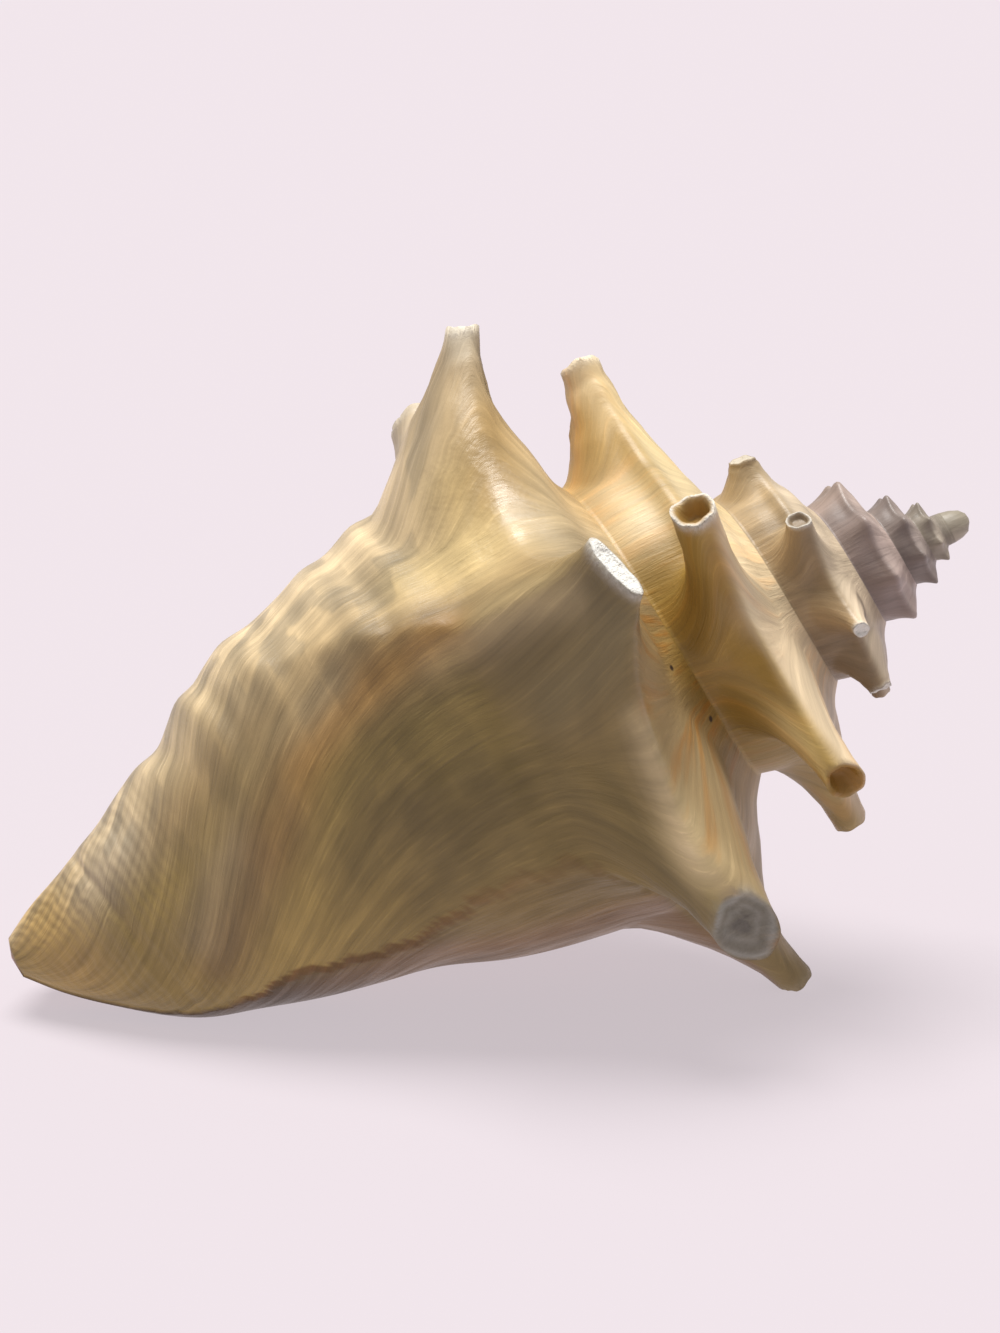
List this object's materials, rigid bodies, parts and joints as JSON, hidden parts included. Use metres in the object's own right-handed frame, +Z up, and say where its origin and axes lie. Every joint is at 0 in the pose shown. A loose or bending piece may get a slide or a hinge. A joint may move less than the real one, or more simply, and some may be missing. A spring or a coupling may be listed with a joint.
{
  "type": "queen conch shell",
  "caption": "Large spiral seashell with blunt shoulder spines, a stepped pointed spire and a flared lip over a deep aperture, lying on its open side.",
  "frame": {"origin": "centre of the bottom of the bounding box, on the plane that the shell rests on", "axes": "+X along the longest extent, towards the apex of the spire; +Y towards the flared lip; +Z up"},
  "size_m": [0.2162, 0.1722, 0.1541],
  "materials": {
    "shell": "natural shell, satin to glossy"
  },
  "bodies": {
    "root": {"shell": "shell"}
  },
  "joints": []
}
